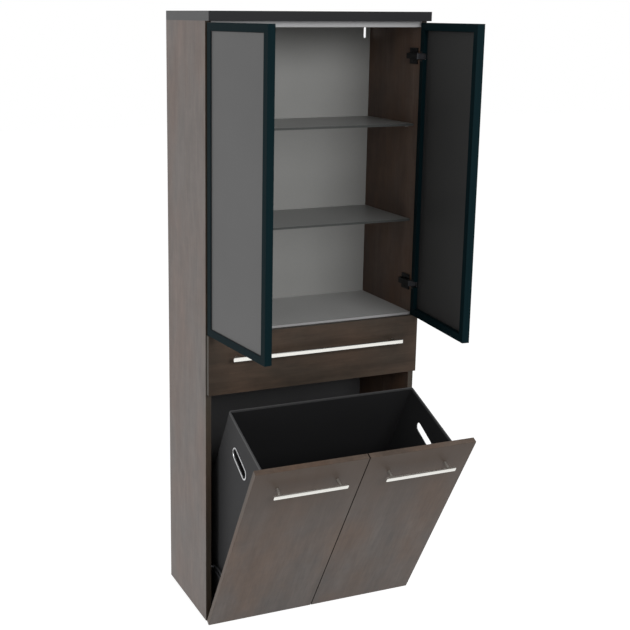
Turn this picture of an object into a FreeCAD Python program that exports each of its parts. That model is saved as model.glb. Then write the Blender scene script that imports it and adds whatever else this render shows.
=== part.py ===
import FreeCAD, Part
import os
import re
import Sketcher

# Wall-hung tall bathroom cabinet: glass doors above, a drawer, and a tilting laundry flap below.
# The row's origin is on the wall plane, centred, at the lower ends of the side panels.
# X runs to the viewer's right, Y from the room to the wall, Z up, and lengths are millimetres.
# It stands as photographed: both doors open, drawer shut, laundry flap tilted out on its stays.

doc = FreeCAD.newDocument("tall_cabinet")

SIZES = [
    # carcass
    ("width", 650),
    ("board", 16),
    ("depth", 305),
    ("side_height", 1675),
    ("cover_thickness", 25),
    ("cover_overhang", 25),
    ("back_thickness", 3),
    ("back_recess", 10),
    ("groove_depth", 6),
    ("groove_play", 0.1),
    ("bottom_lift", 4),
    ("bottom_setback", 2),
    ("divider_level", 682),
    ("floor_level", 838),
    # slots in the back panel that let the wall hooks be reached
    ("hook_slot_width", 8),
    ("hook_slot_height", 32),
    ("hook_slot_inset", 17.5),
    ("hook_slot_drop", 3),
    # suspension plates behind the back panel
    ("hanger_width", 40),
    ("hanger_height", 55),
    ("hanger_thickness", 2.5),
    ("hanger_drop", 113),
    ("hanger_wall_gap", 1),
    ("hanger_hole", 4.5),
    ("hanger_flange_play", 0.5),
    # glass shelves and their pins
    ("shelf_thickness", 6),
    ("shelf_setback", 21),
    ("shelf_side_play", 1.5),
    ("shelf_back_play", 1),
    ("pin_radius", 2.5),
    ("pin_reach", 9),
    ("pin_shank", 8),
    ("pin_setback", 32),
    ("pin_play", 0.05),
    # doors
    ("door_bottom", 850),
    ("door_top_gap", 4),
    ("door_side_inset", 1.5),
    ("door_middle_gap", 3),
    ("door_thickness", 20),
    ("frame_face", 20),
    ("glass_thickness", 4),
    ("glass_setback", 3),
    ("glass_grip", 6),
    ("glass_play", 0.2),
    ("left_door_angle", 85),
    ("right_door_angle", 84.6),
    # door hinges
    ("front_gap", 2),
    ("hinge_edge", 7),
    ("hinge_cover", 6),
    ("hinge_pin", 2),
    ("hinge_pin_play", 0.08),
    ("hinge_eye", 4),
    ("hinge_height", 16),
    ("hinge_slot_play", 0.7),
    ("hinge_ear", 5),
    ("cup_wall", 1.2),
    ("cup_width", 13),
    ("neck_width", 5),
    ("neck_side", 13.5),
    ("neck_reach", 15),
    ("neck_relief", 2),
    ("arm_gap", 3),
    ("arm_width", 9),
    ("arm_length", 52),
    ("plate_height", 44),
    ("plate_length", 40),
    ("plate_setback", 12),
    ("hinge_inset", 90),
    # drawer
    ("front_board", 16),
    ("front_side_inset", 2.5),
    ("drawer_bottom", 680),
    ("drawer_height", 168),
    ("drawer_side_board", 12),
    ("drawer_side_height", 100),
    ("drawer_side_lift", 26),
    ("drawer_length", 270),
    ("drawer_floor", 8),
    ("drawer_floor_lift", 6),
    # drawer runners
    ("runner_space", 13),
    ("runner_sheet", 1.2),
    ("runner_height", 35),
    ("runner_step", 1.5),
    ("runner_lip", 10),
    ("runner_lift", 25),
    ("runner_setback", 2),
    # bar handles
    ("bar_height", 12),
    ("bar_depth", 8),
    ("bar_reach", 30),
    ("bar_ease", 1.5),
    ("post_radius", 4),
    ("post_inset", 20),
    ("drawer_bar_end", 61.5),
    ("drawer_bar_level", 783),
    ("flap_bar_end", 54.5),
    ("flap_bar_drop", 69),
    # laundry flap
    ("flap_height", 669),
    ("flap_middle_gap", 3),
    ("flap_angle", 29.6),
    ("pivot_front", 3),
    ("pivot_level", 2),
    ("knuckle", 3.5),
    ("knuckle_play", 0.5),
    ("leaf", 1.5),
    ("leaf_length", 40),
    ("flap_hinge_width", 60),
    ("flap_hinge_third", 20),
    ("flap_hinge_end", 77.5),
    ("flap_pin", 1.5),
    ("rail_thickness", 5),
    ("rail_height", 40),
    ("rail_end", 52.5),
    ("low_rail_level", 200),
    ("high_rail_level", 520),
    # laundry basket
    ("basket_side_play", 6),
    ("basket_depth", 257),
    ("basket_wall", 3),
    ("basket_lift", 26),
    ("basket_front_top", 632),
    ("basket_rear_top", 597),
    ("slot_length", 95),
    ("slot_height", 28),
    ("slot_back", 137),
    ("slot_level", 530),
    ("rim_width", 4),
    ("rim_proud", 1.5),
    # slotted stays and their studs
    ("stay_radius", 150),
    ("stay_width", 24),
    ("stay_thickness", 2),
    ("stay_side_gap", 15),
    ("stay_foot", 22),
    ("stay_foot_thickness", 2),
    ("stud_angle", 75),
    ("stud_radius", 4),
    ("stud_play", 0.3),
    ("stud_head", 7),
    ("stud_head_thickness", 1.5),
    ("stay_margin", 4),
]

PLACES = [
    ("half", "width / 2"),
    ("inner", "half - board"),
    ("front", "-depth"),
    ("back_rear", "-back_recess"),
    ("back_face", "back_rear - back_thickness"),
    ("bottom_top", "bottom_lift + board"),
    ("divider_top", "divider_level + board"),
    ("floor_top", "floor_level + board"),
    ("top_board_level", "side_height - board"),
    ("hook_slot_middle", "inner - hook_slot_inset"),
    ("hook_slot_top", "top_board_level - hook_slot_drop"),
    ("hook_slot_radius", "hook_slot_width / 2"),
    ("hanger_rear", "-hanger_wall_gap"),
    ("hanger_front", "hanger_rear - hanger_thickness"),
    ("hanger_middle", "inner - hanger_width / 2"),
    ("hanger_level", "side_height - hanger_drop"),
    ("hanger_top", "hanger_level + hanger_height"),
    # two shelves part the glass compartment into three equal bays
    ("shelf_bay", "(top_board_level - floor_top - 2 * shelf_thickness) / 3"),
    ("lower_shelf_top", "floor_top + shelf_bay + shelf_thickness"),
    ("upper_shelf_top", "lower_shelf_top + shelf_bay + shelf_thickness"),
    ("shelf_half", "inner - shelf_side_play"),
    ("shelf_front", "front + shelf_setback"),
    ("shelf_rear", "back_face - shelf_back_play"),
    ("pin_front", "shelf_front + pin_setback"),
    ("pin_rear", "shelf_rear - pin_setback"),
    # doors, measured from the hinge axis, along the door and towards its inner face
    ("door_top", "side_height - door_top_gap"),
    ("door_width", "half - door_side_inset - door_middle_gap / 2"),
    ("door_axis_x", "half - door_side_inset - hinge_edge"),
    ("door_inner", "door_thickness - hinge_cover"),
    ("door_axis_y", "front - front_gap - door_inner"),
    ("door_free", "door_width - hinge_edge"),
    ("stile_end", "frame_face - hinge_edge"),
    ("free_stile_start", "door_free - frame_face"),
    ("rail_low_top", "door_bottom + frame_face"),
    ("rail_high_bottom", "door_top - frame_face"),
    ("glass_outer", "glass_setback - hinge_cover"),
    ("glass_inner", "glass_outer + glass_thickness"),
    ("glass_start", "stile_end - glass_grip"),
    ("glass_end", "free_stile_start + glass_grip"),
    ("glass_bottom", "rail_low_top - glass_grip"),
    ("glass_top", "rail_high_bottom + glass_grip"),
    ("cup_inner", "cup_wall - hinge_cover"),
    ("cup_end", "cup_width - hinge_edge"),
    ("cup_half", "hinge_height / 2 + hinge_slot_play + hinge_ear"),
    ("hinge_slot_half", "hinge_height / 2 + hinge_slot_play"),
    ("hinge_low", "door_bottom + hinge_inset"),
    ("hinge_high", "door_top - hinge_inset"),
    ("arm_side", "inner - arm_gap"),
    ("arm_rear", "front + arm_gap + arm_length"),
    # drawer
    ("front_inner", "front - front_gap"),
    ("front_outer", "front_inner - front_board"),
    ("front_half", "half - front_side_inset"),
    ("drawer_bar_length", "2 * (front_half - drawer_bar_end)"),
    ("drawer_top", "drawer_bottom + drawer_height"),
    ("drawer_half", "inner - runner_space"),
    ("drawer_box_half", "drawer_half - drawer_side_board"),
    ("drawer_rear", "front_inner + drawer_length"),
    ("drawer_side_low", "drawer_bottom + drawer_side_lift"),
    ("drawer_side_top", "drawer_side_low + drawer_side_height"),
    ("drawer_floor_low", "drawer_side_low + drawer_floor_lift"),
    ("runner_front", "front + runner_setback"),
    ("runner_rear", "drawer_rear + runner_setback"),
    ("runner_low", "drawer_side_low + runner_lift"),
    ("runner_top", "runner_low + runner_height"),
    ("member_low", "runner_low + runner_step"),
    ("member_top", "runner_top - runner_step"),
    # flap, measured from its pivot: Y towards the wall and Z up when it is shut
    ("pivot_y", "front - pivot_front"),
    ("board_inner", "front_inner - pivot_y"),
    ("board_outer", "board_inner - front_board"),
    ("flap_low", "-pivot_level"),
    ("flap_top", "flap_height - pivot_level"),
    ("flap_bar_level", "flap_top - flap_bar_drop"),
    ("flap_bar_middle", "(front_half + flap_middle_gap / 2) / 2"),
    ("flap_bar_length", "front_half - flap_middle_gap / 2 - 2 * flap_bar_end"),
    ("flap_hinge_middle", "front_half - flap_hinge_end"),
    ("rail_half", "front_half - rail_end"),
    ("notch_radius", "knuckle + knuckle_play"),
    ("stay_side", "inner - stay_side_gap"),
    ("stud_end", "stay_side - stay_thickness - stay_foot_thickness"),
    ("basket_half_width", "stud_end - basket_side_play"),
    ("basket_front", "board_inner + rail_thickness"),
    ("basket_rear", "basket_front + basket_depth"),
    ("basket_low", "basket_lift - pivot_level"),
    ("basket_front_rim", "basket_front_top - pivot_level"),
    ("basket_rear_rim", "basket_rear_top - pivot_level"),
    ("basket_inner_half", "basket_half_width - basket_wall"),
    ("slot_middle", "slot_back - pivot_front"),
    ("slot_height_middle", "slot_level - pivot_level"),
    ("slot_straight", "slot_length - slot_height"),
    ("stay_outer", "stay_radius + stay_width / 2"),
    ("stay_inner", "stay_radius - stay_width / 2"),
    ("slot_half", "stud_radius + stud_play"),
    ("stay_slot_start", "stud_angle - flap_angle"),
    ("end_angle", "asin((slot_half + stay_margin) / stay_radius) / 1 deg"),
    ("stay_start", "stay_slot_start - end_angle"),
    ("stay_sweep", "90 - stay_start - asin(board_inner / stay_inner) / 1 deg"),
    ("stud_y", "pivot_y + stay_radius * cos(stud_angle)"),
    ("stud_z", "pivot_level + stay_radius * sin(stud_angle)"),
]

sizes = doc.addObject("Spreadsheet::Sheet", "Sizes")
places = doc.addObject("Spreadsheet::Sheet", "Places")
SHEET_OF = {}


def formula(words):
    """Turns named sizes and places into a formula that the document can follow."""
    def point(match):
        word = match.group(0)
        return SHEET_OF[word] + "." + word if word in SHEET_OF else word
    return re.sub(r"[a-z_]+", point, str(words))


for row, (name, value) in enumerate(SIZES, start=1):
    sizes.set("A%d" % row, name)
    sizes.set("B%d" % row, str(value))
    sizes.setAlias("B%d" % row, name)
    SHEET_OF[name] = "Sizes"
for row, (name, words) in enumerate(PLACES, start=1):
    places.set("A%d" % row, name)
    places.set("B%d" % row, "=" + formula(words))
    places.setAlias("B%d" % row, name)
    SHEET_OF[name] = "Places"
doc.recompute()

# A third of a turn about this diagonal takes Z to X, and two thirds take it to Y.
DIAGONAL = FreeCAD.Vector(1, 1, 1)
THIRD_TURN = 360 / 3
TURN_Z_TO_X = FreeCAD.Rotation(DIAGONAL, THIRD_TURN)
TURN_Z_TO_Y = FreeCAD.Rotation(DIAGONAL, 2 * THIRD_TURN)
LEFT, RIGHT = -1, 1
parts = []


def move(item, x, y, z):
    item.setExpression("Placement.Base.x", formula(x))
    item.setExpression("Placement.Base.y", formula(y))
    item.setExpression("Placement.Base.z", formula(z))
    return item


def mirrored(side, low, high):
    """A stretch along X, given for the right-hand side, on the side that is asked for."""
    return (low, high) if side > 0 else ("-(%s)" % high, "-(%s)" % low)


def signed(side, place):
    return place if side > 0 else "-(%s)" % place


def box(x, y, z):
    """A board between two places along each axis."""
    item = doc.addObject("Part::Box", "board")
    for name, (low, high) in (("Length", x), ("Width", y), ("Height", z)):
        item.setExpression(name, formula("(%s) - (%s)" % (high, low)))
    return move(item, x[0], y[0], z[0])


def rod(axis, radius, length, x, y, z, angle=None):
    """A round bar that starts at a place and runs along an axis."""
    item = doc.addObject("Part::Cylinder", "rod")
    item.setExpression("Radius", formula(radius))
    item.setExpression("Height", formula(length))
    if angle:
        item.setExpression("Angle", formula(angle))
    if axis == "X":
        item.Placement.Rotation = TURN_Z_TO_X
    if axis == "Y":
        item.Placement.Rotation = TURN_Z_TO_Y
    return move(item, x, y, z)


def cut(base, *tools):
    result = base
    for tool in tools:
        cutting = doc.addObject("Part::Cut", "cut")
        cutting.Base = result
        cutting.Tool = tool
        result = cutting
    return result


def join(*items):
    joined = doc.addObject("Part::MultiFuse", "join")
    joined.Shapes = list(items)
    joined.Refine = True
    return joined


def group(*items):
    """Like pieces that share one node and stay separate solids, or one piece with its own placement."""
    bundle = doc.addObject("Part::Compound", "group")
    bundle.Links = list(items)
    return bundle


def part(label, item):
    item.Label = label
    parts.append(item)
    return item


def on_door(label, side, item):
    """A piece made about the hinge axis is swung to where the open door stands."""
    angle = "-left_door_angle" if side < 0 else "right_door_angle"
    item.Placement.Rotation = FreeCAD.Rotation(FreeCAD.Vector(0, 0, 1), 1)
    item.setExpression("Placement.Rotation.Angle", formula(angle))
    move(item, signed(side, "door_axis_x"), "door_axis_y", "0")
    return part(label, item)


def on_flap(label, item):
    """A piece made about the flap's pivot is tilted to where the open flap rests."""
    item.Placement.Rotation = FreeCAD.Rotation(FreeCAD.Vector(1, 0, 0), 1)
    item.setExpression("Placement.Rotation.Angle", formula("flap_angle"))
    move(item, "0", "pivot_y", "pivot_level")
    return part(label, item)


def padded(label, plane, corners, level, length):
    """A sketched outline with a named place for each corner, padded away from its plane."""
    body = doc.addObject("PartDesign::Body", label + "_body")
    sketch = body.newObject("Sketcher::SketchObject", label + "_outline")
    support = [item for item in body.Origin.OriginFeatures if item.Role == plane][0]
    sketch.AttachmentSupport = (support, "")
    sketch.MapMode = "FlatFace"
    sketch.setExpression("AttachmentOffset.Base.z", formula(level))
    scratch = doc.addObject("Spreadsheet::Sheet", label + "_corners")
    for row, corner in enumerate(corners, start=1):
        for column, words in zip("AB", corner):
            scratch.set("%s%d" % (column, row), "=" + formula(words))
    doc.recompute()
    count = len(corners)
    spots = []
    for row in range(1, count + 1):
        spots.append([float(scratch.get("%s%d" % (column, row))) for column in "AB"])
    for index in range(count):
        start = FreeCAD.Vector(*spots[index], 0)
        end = FreeCAD.Vector(*spots[(index + 1) % count], 0)
        sketch.addGeometry(Part.LineSegment(start, end))
    for index in range(count):
        sketch.addConstraint(Sketcher.Constraint("Coincident", index, 2, (index + 1) % count, 1))
    for index, corner in enumerate(corners):
        for kind, words, spot in zip(("DistanceX", "DistanceY"), corner, spots[index]):
            number = sketch.addConstraint(Sketcher.Constraint(kind, -1, 1, index, 1, spot))
            sketch.setExpression("Constraints[%d]" % number, formula(words))
    doc.removeObject(scratch.Name)
    pad = body.newObject("PartDesign::Pad", label + "_pad")
    pad.Profile = sketch
    pad.setExpression("Length", formula(length))
    return body


# Side panels carry every board, and a groove near the rear edge holds the back panel.
PIN_LEVELS = ["%s_shelf_top - shelf_thickness - pin_radius" % word for word in ("upper", "lower")]
for side, label in ((LEFT, "side_panel_left"), (RIGHT, "side_panel_right")):
    panel = box(mirrored(side, "inner", "half"), ("front", "0"), ("0", "side_height"))
    groove = box(
        mirrored(side, "inner", "inner + groove_depth"),
        ("back_face - groove_play", "back_rear + groove_play"),
        ("0", "side_height"),
    )
    holes = []
    for level in PIN_LEVELS:
        for place in ("pin_front", "pin_rear"):
            start = mirrored(side, "inner", "inner + pin_shank")[0]
            holes.append(rod("X", "pin_radius + pin_play", "pin_shank", start, place, level))
    part(label, cut(panel, groove, *holes))

# Boards between the sides, and the cover plate that lies on top and overhangs the doors.
across = ("-inner", "inner")
part("cover_plate", box(
    ("-half", "half"),
    ("front - cover_overhang", "0"),
    ("side_height", "side_height + cover_thickness"),
))
inside = ("front", "back_face")
part("top_board", box(across, inside, ("top_board_level", "side_height")))
part("middle_floor", box(across, inside, ("floor_level", "floor_top")))
part("drawer_divider", box(across, inside, ("divider_level", "divider_top")))
part("bottom_board", box(across, ("front + bottom_setback", "0"), ("bottom_lift", "bottom_top")))

# Back panel, held in the side grooves, with a round-ended slot near each upper corner.
back = box(
    ("-(inner + groove_depth - groove_play)", "inner + groove_depth - groove_play"),
    ("back_face", "back_rear"),
    ("bottom_top", "side_height"),
)
slots = []
slot_low = "hook_slot_top - hook_slot_height + hook_slot_radius"
slot_high = "hook_slot_top - hook_slot_radius"
for side in (LEFT, RIGHT):
    middle = signed(side, "hook_slot_middle")
    slots.append(box(
        ("%s - hook_slot_radius" % middle, "%s + hook_slot_radius" % middle),
        ("back_face", "back_rear"),
        (slot_low, slot_high),
    ))
    for end in (slot_low, slot_high):
        slots.append(rod("Y", "hook_slot_radius", "back_thickness", middle, "back_face", end))
part("back_panel", cut(back, *slots))

# Suspension plates: an angle on each side panel, behind the back panel, with a hole for the wall hook.
hangers = []
for side in (LEFT, RIGHT):
    plate = box(
        mirrored(side, "inner - hanger_width", "inner"),
        ("hanger_front", "hanger_rear"),
        ("hanger_level", "hanger_top"),
    )
    flange = box(
        mirrored(side, "inner - hanger_thickness", "inner"),
        ("back_rear + hanger_flange_play", "hanger_rear"),
        ("hanger_level", "hanger_top"),
    )
    hole = rod(
        "Y", "hanger_hole", "hanger_thickness",
        signed(side, "hanger_middle"), "hanger_front", "hanger_level + hanger_height / 2",
    )
    hangers.append(cut(join(plate, flange), hole))
part("suspension_plates", group(*hangers))

# Two loose glass shelves, each on four pins pushed into bores in the side panels.
for label, top in (("upper_shelf", "upper_shelf_top"), ("lower_shelf", "lower_shelf_top")):
    part(label, box(
        ("-shelf_half", "shelf_half"),
        ("shelf_front", "shelf_rear"),
        ("%s - shelf_thickness" % top, top),
    ))
pins = []
for side in (LEFT, RIGHT):
    for level in PIN_LEVELS:
        for place in ("pin_front", "pin_rear"):
            start = mirrored(side, "inner - pin_reach", "inner + pin_shank")[0]
            pins.append(rod("X", "pin_radius", "pin_reach + pin_shank", start, place, level))
part("shelf_pins", group(*pins))

def door_bar(name, side, outline):
    """A frame bar, with its corners given from the hinge axis towards the free edge."""
    corners = [(signed(-side, x), z) for x, z in outline]
    return padded(name, "XZ_Plane", corners, "-door_inner", "door_thickness")


def hinge_room(side, level):
    """Cuts in the hinge stile: a pocket for the cup, and a slot that lets the neck swing."""
    slot = ("%s - hinge_slot_half" % level, "%s + hinge_slot_half" % level)
    relief = box(mirrored(-side, "cup_end", "stile_end"), ("neck_relief", "door_inner"), slot)
    return [cup_block(side, level), relief]


def cup_block(side, level):
    return box(
        mirrored(-side, "-hinge_edge", "cup_end"),
        ("cup_inner", "door_inner"),
        ("%s - cup_half" % level, "%s + cup_half" % level),
    )


def hinge_cup(side, level):
    """A block with two ears that hold the pin, open between them for the eye and its neck."""
    slot = ("%s - hinge_slot_half" % level, "%s + hinge_slot_half" % level)
    inner_room = box(mirrored(-side, "-hinge_edge", "cup_end"), ("0", "door_inner"), slot)
    neck_room = box(
        mirrored(-side, "-hinge_edge", "0"),
        ("-(neck_width / 2 + hinge_slot_play)", "0"),
        slot,
    )
    eye_room = rod("Z", "hinge_eye + hinge_slot_play", "2 * hinge_slot_half", "0", "0", slot[0])
    pin_hole = rod("Z", "hinge_pin", "2 * cup_half", "0", "0", "%s - cup_half" % level)
    return cut(cup_block(side, level), inner_room, eye_room, neck_room, pin_hole)


def hinge_arm(side, level):
    """An eye round the pin, a slanting neck, an arm along the side panel and its screwed plate."""
    bottom = "%s - hinge_height / 2" % level
    axis_x = signed(side, "door_axis_x")
    eye = rod("Z", "hinge_eye", "hinge_height", axis_x, "door_axis_y", bottom)
    bore = rod("Z", "hinge_pin + hinge_pin_play", "hinge_height", axis_x, "door_axis_y", bottom)
    slope = "neck_width / 2 * neck_reach / sqrt(neck_side ^ 2 + neck_reach ^ 2)"
    rise = "neck_width / 2 * neck_side / sqrt(neck_side ^ 2 + neck_reach ^ 2)"
    arm_outer = "door_axis_x - arm_side"
    arm_inner = "door_axis_x - arm_side + arm_width"
    from_axis = [
        (slope, "-(%s)" % rise),
        ("neck_side + %s" % slope, "neck_reach - %s" % rise),
        (arm_inner, "neck_reach"),
        (arm_inner, "arm_rear - door_axis_y"),
        (arm_outer, "arm_rear - door_axis_y"),
        (arm_outer, "front - door_axis_y + arm_gap"),
        ("-(%s)" % slope, rise),
    ]
    outline = []
    for x, y in from_axis:
        outline.append((signed(side, "door_axis_x - (%s)" % x), "door_axis_y + %s" % y))
    neck = padded("neck_%s_%d" % (level, side), "XY_Plane", outline, bottom, "hinge_height")
    plate = box(
        mirrored(side, "arm_side", "inner"),
        ("front + plate_setback", "front + plate_setback + plate_length"),
        ("%s - plate_height / 2" % level, "%s + plate_height / 2" % level),
    )
    return cut(join(neck, eye, plate), bore)


# Glass doors: four mitred aluminium bars, with a rebate for the pane, swung on two hinges.
for side, word in ((LEFT, "left"), (RIGHT, "right")):
    rebate = box(
        mirrored(-side, "glass_start - glass_play", "glass_end + glass_play"),
        ("glass_outer - glass_play", "glass_inner + glass_play"),
        ("glass_bottom - glass_play", "glass_top + glass_play"),
    )
    hinge_stile = door_bar("hinge_stile_" + word, side, [
        ("-hinge_edge", "door_bottom"), ("stile_end", "rail_low_top"),
        ("stile_end", "rail_high_bottom"), ("-hinge_edge", "door_top"),
    ])
    free_stile = door_bar("free_stile_" + word, side, [
        ("door_free", "door_bottom"), ("free_stile_start", "rail_low_top"),
        ("free_stile_start", "rail_high_bottom"), ("door_free", "door_top"),
    ])
    low_rail = door_bar("low_rail_" + word, side, [
        ("-hinge_edge", "door_bottom"), ("door_free", "door_bottom"),
        ("free_stile_start", "rail_low_top"), ("stile_end", "rail_low_top"),
    ])
    high_rail = door_bar("high_rail_" + word, side, [
        ("-hinge_edge", "door_top"), ("door_free", "door_top"),
        ("free_stile_start", "rail_high_bottom"), ("stile_end", "rail_high_bottom"),
    ])
    rooms = []
    cups = []
    hinge_pins = []
    arms = []
    for level in ("hinge_low", "hinge_high"):
        rooms += hinge_room(side, level)
        cups.append(hinge_cup(side, level))
        hinge_pins.append(rod("Z", "hinge_pin", "2 * cup_half", "0", "0", "%s - cup_half" % level))
        arms.append(hinge_arm(side, level))
    on_door("door_%s_hinge_stile" % word, side, cut(hinge_stile, rebate, *rooms))
    on_door("door_%s_free_stile" % word, side, cut(free_stile, rebate))
    on_door("door_%s_rails" % word, side, group(cut(low_rail, rebate), cut(high_rail, rebate)))
    on_door("door_%s_glass" % word, side, group(box(
        mirrored(-side, "glass_start", "glass_end"),
        ("glass_outer", "glass_inner"),
        ("glass_bottom", "glass_top"),
    )))
    on_door("door_%s_hinge_cups" % word, side, group(*cups))
    on_door("door_%s_hinge_pins" % word, side, group(*hinge_pins))
    part("door_%s_hinge_arms" % word, group(*arms))


def bar_handle(length, middle, level, face):
    """A flat bar with softened edges, and the two round posts that carry it off the front."""
    bar = box(
        ("%s - %s / 2" % (middle, length), "%s + %s / 2" % (middle, length)),
        ("%s - bar_reach" % face, "%s - bar_reach + bar_depth" % face),
        ("%s - bar_height / 2" % level, "%s + bar_height / 2" % level),
    )
    softened = doc.addObject("Part::Chamfer", "softened_bar")
    softened.Base = bar
    doc.recompute()
    ease = sizes.get("bar_ease")
    softened.Edges = [(number, ease, ease) for number in range(1, len(bar.Shape.Edges) + 1)]
    posts = []
    post_front = "%s - bar_reach + bar_depth" % face
    for end in ("-", "+"):
        place = "%s %s (%s / 2 - post_inset)" % (middle, end, length)
        posts.append(rod("Y", "post_radius", "bar_reach - bar_depth", place, post_front, level))
    return softened, posts


# Drawer: front board, four-sided box and the moving members of its two runners.
part("drawer_front", box(
    ("-front_half", "front_half"),
    ("front_outer", "front_inner"),
    ("drawer_bottom", "drawer_top"),
))
for side, word in ((LEFT, "left"), (RIGHT, "right")):
    part("drawer_side_" + word, box(
        mirrored(side, "drawer_box_half", "drawer_half"),
        ("front_inner", "drawer_rear"),
        ("drawer_side_low", "drawer_side_top"),
    ))
box_across = ("-drawer_box_half", "drawer_box_half")
part("drawer_back", box(
    box_across,
    ("drawer_rear - drawer_side_board", "drawer_rear"),
    ("drawer_side_low", "drawer_side_top"),
))
part("drawer_bottom_panel", box(
    box_across,
    ("front_inner", "drawer_rear - drawer_side_board"),
    ("drawer_floor_low", "drawer_floor_low + drawer_floor"),
))
fixed_members = []
moving_members = []
for side in (LEFT, RIGHT):
    rail = box(
        mirrored(side, "inner - runner_lip", "inner"),
        ("runner_front", "runner_rear"),
        ("runner_low", "runner_top"),
    )
    hollow = box(
        mirrored(side, "inner - runner_lip", "inner - runner_sheet"),
        ("runner_front", "runner_rear"),
        ("runner_low + runner_sheet", "runner_top - runner_sheet"),
    )
    fixed_members.append(cut(rail, hollow))
    rail = box(
        mirrored(side, "drawer_half", "drawer_half + runner_lip"),
        ("front_inner", "drawer_rear"),
        ("member_low", "member_top"),
    )
    hollow = box(
        mirrored(side, "drawer_half + runner_sheet", "drawer_half + runner_lip"),
        ("front_inner", "drawer_rear"),
        ("member_low + runner_sheet", "member_top - runner_sheet"),
    )
    moving_members.append(cut(rail, hollow))
part("runner_fixed_members", group(*fixed_members))
part("runner_moving_members", group(*moving_members))
handle, posts = bar_handle("drawer_bar_length", "0", "drawer_bar_level", "front_outer")
part("drawer_handle_bar", handle)
part("drawer_handle_posts", group(*posts))

# Laundry flap: two front boards side by side, each on a knuckle hinge, tied by two rails.
for side, word in ((LEFT, "left"), (RIGHT, "right")):
    front = box(
        mirrored(side, "flap_middle_gap / 2", "front_half"),
        ("board_outer", "board_inner"),
        ("flap_low", "flap_top"),
    )
    notch_start = "%s - flap_hinge_width / 2 - knuckle_play" % signed(side, "flap_hinge_middle")
    notch = rod("X", "notch_radius", "flap_hinge_width + 2 * knuckle_play", notch_start, "0", "0")
    on_flap("flap_front_" + word, cut(front, notch))
    bar_middle = signed(side, "flap_bar_middle")
    handle, posts = bar_handle("flap_bar_length", bar_middle, "flap_bar_level", "board_outer")
    on_flap("flap_handle_bar_" + word, group(handle))
    on_flap("flap_handle_posts_" + word, group(*posts))
rails = []
for level in ("low_rail_level", "high_rail_level"):
    rails.append(box(
        ("-rail_half", "rail_half"),
        ("board_inner", "basket_front"),
        ("%s - pivot_level" % level, "%s - pivot_level + rail_height" % level),
    ))
on_flap("flap_tie_rails", group(*rails))

fixed_leaves = []
moving_leaves = []
flap_pins = []
for side in (LEFT, RIGHT):
    middle = signed(side, "flap_hinge_middle")
    start = "%s - flap_hinge_width / 2" % middle
    whole = (start, "%s + flap_hinge_width / 2" % middle)
    centre = ("%s - flap_hinge_third / 2" % middle, "%s + flap_hinge_third / 2" % middle)
    barrel = rod("X", "knuckle", "flap_hinge_width", start, "pivot_y", "pivot_level")
    leaf = box(whole, ("pivot_y", "pivot_y + leaf_length"), ("bottom_lift - leaf", "bottom_lift"))
    gap = box(
        ("%s - knuckle_play" % centre[0], "%s + knuckle_play" % centre[1]),
        ("pivot_y - notch_radius", "pivot_y + notch_radius"),
        ("pivot_level - notch_radius", "pivot_level + notch_radius"),
    )
    bore = rod("X", "flap_pin + hinge_pin_play", "flap_hinge_width", start, "pivot_y", "pivot_level")
    fixed_leaves.append(cut(join(barrel, leaf), gap, bore))
    barrel = rod("X", "knuckle", "flap_hinge_third", centre[0], "0", "0")
    leaf = box(centre, ("board_inner", "board_inner + leaf"), ("0", "leaf_length"))
    wing = box(whole, ("board_inner", "board_inner + leaf"), ("notch_radius", "leaf_length"))
    bore = rod("X", "flap_pin", "flap_hinge_third", centre[0], "0", "0")
    moving_leaves.append(cut(join(barrel, leaf, wing), bore))
    flap_pins.append(rod("X", "flap_pin", "flap_hinge_width", start, "0", "0"))
part("flap_hinge_fixed_leaves", group(*fixed_leaves))
on_flap("flap_hinge_moving_leaves", group(*moving_leaves))
on_flap("flap_hinge_pins", group(*flap_pins))

# Laundry basket: a folded thin-walled box whose rim slopes to the rear, with a hand slot in each side.
outer = padded("basket_outer", "YZ_Plane", [
    ("basket_front", "basket_low"), ("basket_rear", "basket_low"),
    ("basket_rear", "basket_rear_rim"), ("basket_front", "basket_front_rim"),
], "-basket_half_width", "2 * basket_half_width")
inner = padded("basket_inner", "YZ_Plane", [
    ("basket_front + basket_wall", "basket_low + basket_wall"),
    ("basket_rear - basket_wall", "basket_low + basket_wall"),
    ("basket_rear - basket_wall", "basket_front_rim + basket_wall"),
    ("basket_front + basket_wall", "basket_front_rim + basket_wall"),
], "-basket_inner_half", "2 * basket_inner_half")


def hand_slot(side, grow, low, high):
    """A round-ended slot through a side wall, made wider all round by grow."""
    start, end = mirrored(side, low, high)
    radius = "slot_height / 2 + %s" % grow
    ends = ("slot_middle - slot_straight / 2", "slot_middle + slot_straight / 2")
    tall = ("slot_height_middle - (%s)" % radius, "slot_height_middle + (%s)" % radius)
    pieces = [box((start, end), ends, tall)]
    for place in ends:
        length = "(%s) - (%s)" % (end, start)
        pieces.append(rod("X", radius, length, start, place, "slot_height_middle"))
    return join(*pieces)


wall_cuts = [hand_slot(side, "0", "basket_inner_half", "basket_half_width") for side in (LEFT, RIGHT)]
on_flap("laundry_basket", cut(outer, inner, *wall_cuts))
rims = []
for side in (LEFT, RIGHT):
    ring = hand_slot(side, "rim_width", "basket_half_width", "basket_half_width + rim_proud")
    rims.append(cut(ring, hand_slot(side, "0", "basket_half_width", "basket_half_width + rim_proud")))
on_flap("basket_slot_rims", group(*rims))

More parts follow.
